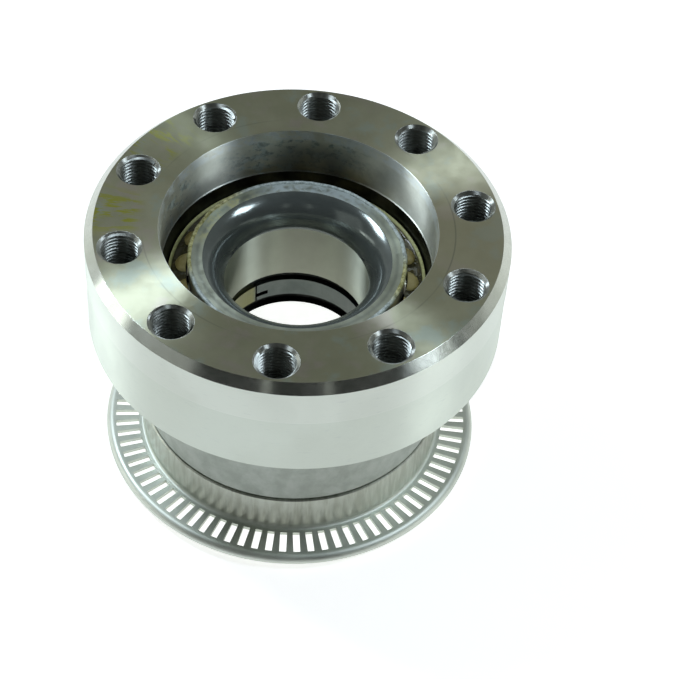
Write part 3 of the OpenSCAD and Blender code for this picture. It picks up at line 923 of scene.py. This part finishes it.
def inner_ring(row, width, rounding, mouth):
    """An inner ring: its rib, raceway and lip, its rounded mouth and bore, and the clip ring's groove."""
    foot_s, toe_s = row_reach + end_gap, row_toe - 2 * end_gap
    foot, toe = at(foot_s, -race_n(foot_s)), at(toe_s, -race_n(toe_s))
    rib_r, lip_r = foot[0] + rib_h, toe[0] + lip_h
    relief_wall = bore_r + clip_relief
    groove_r = bore_r + clip_setback + clip_t + clip_hook + clip_gap
    hook = (clip_w / 2 - clip_t - clip_gap, clip_w / 2 + clip_gap)
    centre = (bore_r + rounding, width - mouth)
    mouth_r = centre[0] - sqrt(rounding**2 - mouth**2)
    corners = [
        (relief_wall, 0, 0.1, "black"),
        (lip_r - edge_chamfer, 0, 0.1, "race"),
        (lip_r, edge_chamfer, 0.1, "race"),
        (*at(toe_s, n_for(toe_s, lip_r)), 0.2, "race"),
        (*toe, 0, "race"),
        (*foot, 0, "race"),
        (*at(foot_s, n_for(foot_s, rib_r)), 0.2, "seal"),
        (rib_r, width - edge_chamfer, 0.2, "ring_face"),
        (rib_r - edge_chamfer, width, 0.2, "ring_face"),
        (mouth_r, width, 0.5, "mouth", centre),
        (bore_r, width - mouth, 0, "bore" if row == "outboard" else "low_bore"),
        (bore_r, clip_relief_w, 0.15, "black"),
        (relief_wall, clip_relief_w, 0, "black"),
        (relief_wall, hook[1], 0, "black"),
        (groove_r, hook[1], 0, "black"),
        (groove_r, hook[0], 0, "black"),
        (relief_wall, hook[0], 0, "black"),
    ]
    place = Matrix.Translation((0, 0, joint_z))
    if row == "inboard":
        place = place @ Matrix.Rotation(pi, 4, "X")
    solid = Turning(f"{row}_ring").sweep(outline(corners), INNER_STEPS, place)
    solid.piece("inner_rings", f"inner_ring_{row}", slot="ground_steel")


def grease():
    """A lumpy bead of grease on the outer edge of the outboard ring's face, thickest at the back. It lies a
    little in from the edge and a little way into the face."""
    bead_r, inset, sink, steps_along, steps_round = 1.05, 0.4, 0.3, 720, 8
    edge_r = at(row_reach + end_gap, -race_n(row_reach + end_gap))[0] + rib_h
    p = Pattern(
        "grease", Steps=steps_along, Circle=(edge_r - inset) * MM, Bead=bead_r * MM,
        Height=(ring_face_z - sink) * MM, Finish=FINISHES["grease"],
    )
    ring = p.node(
        "GeometryNodeCurvePrimitiveCircle", inputs={"Resolution": p.size("Steps"), "Radius": p.size("Circle")}
    )
    wander = (p.noise(90) - 0.5) * 0.03
    out = p.node("ShaderNodeVectorMath", {"operation": "SCALE"}, {0: p.place(), "Scale": wander})
    ring = p.node("GeometryNodeSetPosition", inputs={"Geometry": ring, "Offset": out})
    y = p.node("ShaderNodeSeparateXYZ", inputs=[p.place()], out=1)
    thick = p.ramp(y, -0.02, 0.04, 0.3, 0.8) * p.ramp(p.noise(330, 4, 0.65), *MID, 0.2, 1.4)
    ring = p.node("GeometryNodeSetCurveRadius", inputs={"Curve": ring, "Radius": thick})
    bead = p.node(
        "GeometryNodeCurvePrimitiveCircle", inputs={"Resolution": steps_round, "Radius": p.size("Bead")}
    )
    laid = p.node("GeometryNodeCurveToMesh", inputs={"Curve": ring, "Profile Curve": bead})
    lift = p.node("ShaderNodeCombineXYZ", inputs=[0.0, 0.0, p.size("Height")])
    p.finish(p.node("GeometryNodeTransform", inputs={"Geometry": laid, "Translation": lift}))
    made = p.piece("grease_bead", bpy.data.meshes.new("grease_bead"))
    smooth(made.data, angle=180)
    hand_over(made, "inner_rings")


def build():
    """Every piece of the unit."""
    outer_ring()
    threads()
    tone_ring()
    inner_ring("outboard", ring_face_z - joint_z, mouth_round, mouth_h)
    inner_ring("inboard", joint_z, inboard_round, inboard_h)
    grease()
    smooth_copy("clip", "clip_ring", "inner_rings", "clip")
    smooth_copy("pressed_case", "seal_case", "hub", "seal")
    smooth_copy("rubber_lip", "seal_lip", "hub", "rubber")
    smooth_copy("coil_spring", "garter_spring", "hub", "spring")
    smooth_copy("flinger", "seal_flinger", "inner_rings", "seal")
    for row in ("outboard", "inboard"):
        smooth_copy(f"roller_cage_{row}", f"cage_{row}", f"cage_{row}", "cage")
        for i in range(roller_count):
            node = f"roller_{row}_{i + 1:02d}"
            smooth_copy(f"tapered_{node}", node, node, "roller", angle=40)


def pale_floor():
    """A floor. It glows, so that it ends in the white background, but still shows the unit's shadow, and its
    glow is painted brighter under the unit and its bore.
    """
    half = 4.0
    floor = Finish("studio_floor")
    camera_ray, glossy_ray, through_ray = (
        floor.node("ShaderNodeLightPath", out=name)
        for name in ("Is Camera Ray", "Is Glossy Ray", "Is Transmission Ray")
    )
    r = floor.across()[0]
    # Painted light: to the camera the floor glows brighter under the unit, so that it shows white through the
    # slots and the bore, and to the steel it glows brighter under the bore.
    under, away, bore = floor.ramp(r, 89, 86), floor.ramp(r, 350, 900), floor.ramp(r, 36, 33)
    seen = camera_ray * (0.66 + under * 0.3 + away * 0.34) + (glossy_ray + through_ray) * (0.6 + bore * 0.4)
    glow = floor.node("ShaderNodeEmission", inputs={"Color": (1, 1, 1, 1), "Strength": seen})
    paint = floor.node("ShaderNodeBsdfDiffuse", inputs={"Color": (0.9, 0.9, 0.9, 1)})
    both = floor.node("ShaderNodeAddShader", inputs=[glow, paint])
    floor.node("ShaderNodeOutputMaterial", inputs=[both])
    mesh = bpy.data.meshes.new("floor")
    corners = [(x * half, y * half, 0) for x, y in ((-1, -1), (1, -1), (1, 1), (-1, 1))]
    mesh.from_pydata(corners, [], [(0, 1, 2, 3)])
    mesh.materials.append(floor.material)
    sheet = bpy.data.objects.new("floor", mesh)
    bpy.context.scene.collection.objects.link(sheet)


def pale_room():
    """White to the camera. The steel reflects a dim room with a pale horizon and pale panes in it."""
    world = bpy.data.worlds.new("studio")
    bpy.context.scene.world = world
    world.use_nodes = True
    sky = Shading(world.node_tree)
    x, y, z = sky.parts(sky.node("ShaderNodeTexCoord", out="Generated"))
    flat = (x * x + y * y + 1e-6) ** 0.5

    def pane(azimuth, half, low, high, level):
        """A pale pane: its azimuth and half its width in degrees, its lowest and highest z, its level."""
        towards = (x * cos(radians(azimuth)) + y * sin(radians(azimuth))) / flat
        wide = sky.ramp(towards, cos(radians(half + 2)), cos(radians(half - 2)))
        return wide * sky.ramp(z, low - 0.04, low) * sky.ramp(z, high + 0.06, high) * level

    panes = (
        pane(178, 11, -0.1, 0.3, 2.2)
        + pane(187, 4, -0.1, 0.3, 1.5)
        + pane(-17, 11, -0.1, 0.25, 2.4)
        + pane(206, 19, 0.3, 0.7, 0.35)
        + pane(262, 1.4, 0.6, 0.72, 0.55)
        + pane(-66, 1.4, 0.6, 0.72, 0.45)
    )
    room = sky.ramp(y, -0.35, 0.55, 0.03, 0.27)
    horizon = sky.ramp(z, 0.4, 0.0) * sky.ramp(y, -0.5, 0.6, 0.1, 0.85)
    camera_ray = sky.node("ShaderNodeLightPath", out="Is Camera Ray")
    tone = sky.mix(camera_ray, (0.96, 1.0, 0.95), (1, 1, 1))
    strength = camera_ray + (1 - camera_ray) * (room + horizon + panes)
    light = sky.node("ShaderNodeBackground", inputs={"Color": tone, "Strength": strength})
    sky.node("ShaderNodeOutputWorld", inputs=[light])


def window_lamps():
    """Two soft lamps above the unit, one at each side of the photograph's camera."""
    distance, colour = 1.6, (0.88, 0.99, 1.1)
    middle = Vector((0, 0, 0.1))
    turn = Matrix.Rotation(camera_turn, 3, "Z")
    for name, way, size, power in (
        ("window_left", (-0.569, 0.312, 0.761), (0.3, 0.48), 9.5),
        ("window_right", (0.616, -0.017, 0.787), (0.45, 0.31), 6.5),
    ):
        lamp = bpy.data.lights.new(name, "AREA")
        lamp.shape, lamp.energy, lamp.color = "RECTANGLE", power, colour
        lamp.size, lamp.size_y = size
        holder = bpy.data.objects.new(name, lamp)
        holder.location = middle + turn @ Vector(way).normalized() * distance
        holder.rotation_euler = (middle - holder.location).to_track_quat("-Z", "Y").to_euler()
        bpy.context.scene.collection.objects.link(holder)


def camera():
    """The photograph's camera: about 48 degrees above the unit, a little rolled, with a long lens."""
    down, roll = camera_down, camera_roll
    flat = Matrix(((1, 0, 0), (0, -sin(down), -cos(down)), (0, cos(down), -sin(down))))
    spin = Matrix(((cos(roll), -sin(roll), 0), (sin(roll), cos(roll), 0), (0, 0, 1)))
    view = spin @ flat
    back = Matrix.Rotation(camera_turn, 3, "Z")
    axes = back @ view.transposed()
    where = (back @ (view.transposed() @ -Vector(camera_sees)) + Vector((0, 0, unit_h))) * MM
    lens = bpy.data.cameras.new("camera")
    lens.sensor_width, lens.lens = sensor_mm, focal_px * sensor_mm / frame_px
    lens.clip_start, lens.clip_end = 0.05, 30
    eye = bpy.data.objects.new("camera", lens)
    basis = Matrix((axes.col[0], -axes.col[1], -axes.col[2])).transposed()
    eye.matrix_world = Matrix.Translation(where) @ basis.to_4x4()
    bpy.context.scene.collection.objects.link(eye)
    bpy.context.scene.camera = eye


bpy.context.scene.view_settings.view_transform = "Standard"
camera()
pale_floor()
pale_room()
window_lamps()
build()
